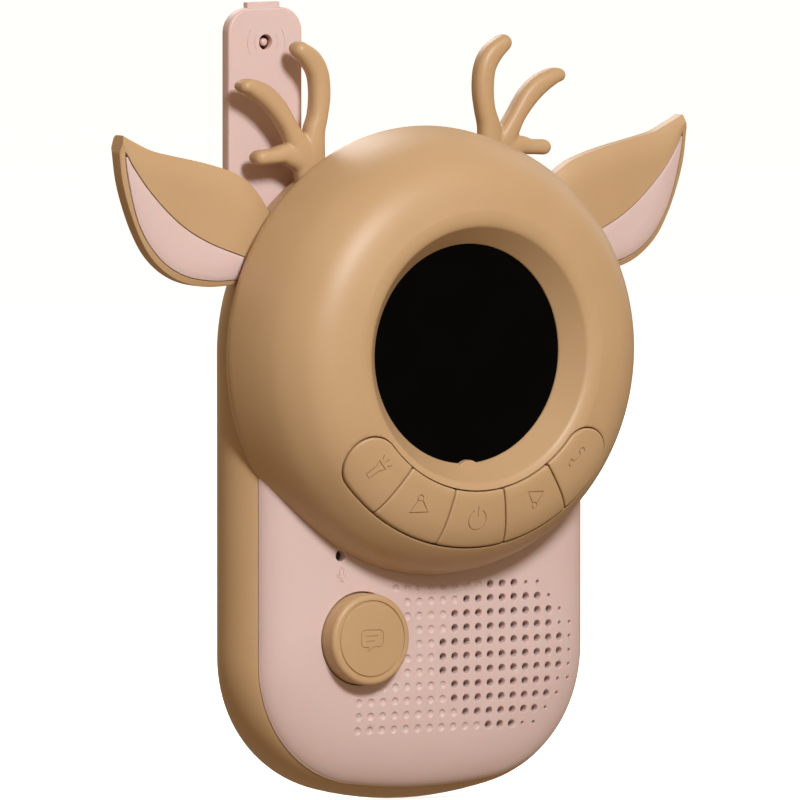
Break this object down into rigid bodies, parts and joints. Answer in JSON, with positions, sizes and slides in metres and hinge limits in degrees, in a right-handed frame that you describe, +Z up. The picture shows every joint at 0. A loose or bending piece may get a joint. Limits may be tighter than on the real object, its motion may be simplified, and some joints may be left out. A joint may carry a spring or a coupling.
{
  "type": "toy walkie talkie",
  "caption": "Toy walkie-talkie in the shape of a young deer, with a round screen, an arc of keys, a talk button, ears, antlers and a flat antenna",
  "frame": {"origin": "centre of the whole object's box in plan, at the lowest point of the body's bottom edge", "axes": "+Z up towards the antenna, +Y towards the battery door, so the screen and speaker face -Y; +X is on the right as one faces the screen"},
  "size_m": [0.1196, 0.0357, 0.1416],
  "materials": {
    "tan_abs": "moulded ABS, satin tan",
    "pink_abs": "moulded ABS, satin pale pink",
    "black_acrylic": "black acrylic, clear gloss",
    "dark_plastic": "moulded dark plastic",
    "circuit_board": "green solder mask on glass fibre board",
    "silicone": "moulded grey silicone",
    "zinc_steel": "zinc-plated steel",
    "nickel_contact": "nickel-plated spring steel",
    "cell_wrap": "printed shrink sleeve, plain blue",
    "paper_cone": "pressed black paper",
    "flat_cable": "white flat cable",
    "copper_strip": "bare copper",
    "clear_led": "clear epoxy"
  },
  "bodies": {
    "body": {"aerial_strip": "copper_strip", "antenna_blade": "pink_abs", "antler_left": "tan_abs", "antler_right": "tan_abs", "battery_1": "cell_wrap", "battery_2": "cell_wrap", "battery_3": "cell_wrap", "contact_plate_1": "nickel_contact", "contact_plate_2": "nickel_contact", "contact_plate_3": "nickel_contact", "contact_spring_1": "zinc_steel", "contact_spring_2": "zinc_steel", "contact_spring_3": "zinc_steel", "display_driver": "dark_plastic", "display_module": "dark_plastic", "ear_inlay_left": "pink_abs", "ear_inlay_right": "pink_abs", "ear_left": "tan_abs", "ear_right": "tan_abs", "front_cover": "pink_abs", "head_board": "circuit_board", "head_screw_1": "zinc_steel", "head_screw_2": "zinc_steel", "head_screw_3": "zinc_steel", "head_shell": "tan_abs", "housing_screw_1": "zinc_steel", "housing_screw_2": "zinc_steel", "housing_screw_3": "zinc_steel", "housing_screw_4": "zinc_steel", "key_pad": "silicone", "main_board": "circuit_board", "microphone": "zinc_steel", "microphone_boot": "silicone", "radio_module": "zinc_steel", "rear_shell": "tan_abs", "ribbon_cable": "flat_cable", "screen_lens": "black_acrylic", "sound_chip": "dark_plastic", "speaker_cone": "paper_cone", "speaker_frame": "zinc_steel", "speaker_magnet": "dark_plastic", "talk_switch": "dark_plastic", "torch_led": "clear_led"},
    "door": {"battery_door": "tan_abs"},
    "door_screw": {"door_screw": "zinc_steel"},
    "talk_button": {"talk_button": "tan_abs"},
    "key_torch": {"key_torch": "tan_abs"},
    "key_up": {"key_up": "tan_abs"},
    "key_power": {"key_power": "tan_abs"},
    "key_down": {"key_down": "tan_abs"},
    "key_call": {"key_call": "tan_abs"}
  },
  "joints": [
    {"name": "talk_press", "type": "slide", "parent": "body", "child": "talk_button", "axis": [0, 1, 0], "range_m": [0, 0.0012], "stiffness_N_per_m": 400},
    {"name": "key_torch_press", "type": "slide", "parent": "body", "child": "key_torch", "axis": [0, 1, 0], "range_m": [0, 0.0008], "stiffness_N_per_m": 300},
    {"name": "key_up_press", "type": "slide", "parent": "body", "child": "key_up", "axis": [0, 1, 0], "range_m": [0, 0.0008], "stiffness_N_per_m": 300},
    {"name": "key_power_press", "type": "slide", "parent": "body", "child": "key_power", "axis": [0, 1, 0], "range_m": [0, 0.0008], "stiffness_N_per_m": 300},
    {"name": "key_down_press", "type": "slide", "parent": "body", "child": "key_down", "axis": [0, 1, 0], "range_m": [0, 0.0008], "stiffness_N_per_m": 300},
    {"name": "key_call_press", "type": "slide", "parent": "body", "child": "key_call", "axis": [0, 1, 0], "range_m": [0, 0.0008], "stiffness_N_per_m": 300},
    {"name": "door_hinge", "type": "hinge", "parent": "body", "child": "door", "pos_m": [0, 0.01785, 0.0404], "axis": [-1, 0, 0], "range_deg": [0, 105]},
    {"name": "door_screw_turn", "type": "hinge", "parent": "door", "child": "door_screw", "pos_m": [0, 0.01785, 0.0939], "axis": [0, 1, 0], "continuous": true}
  ]
}
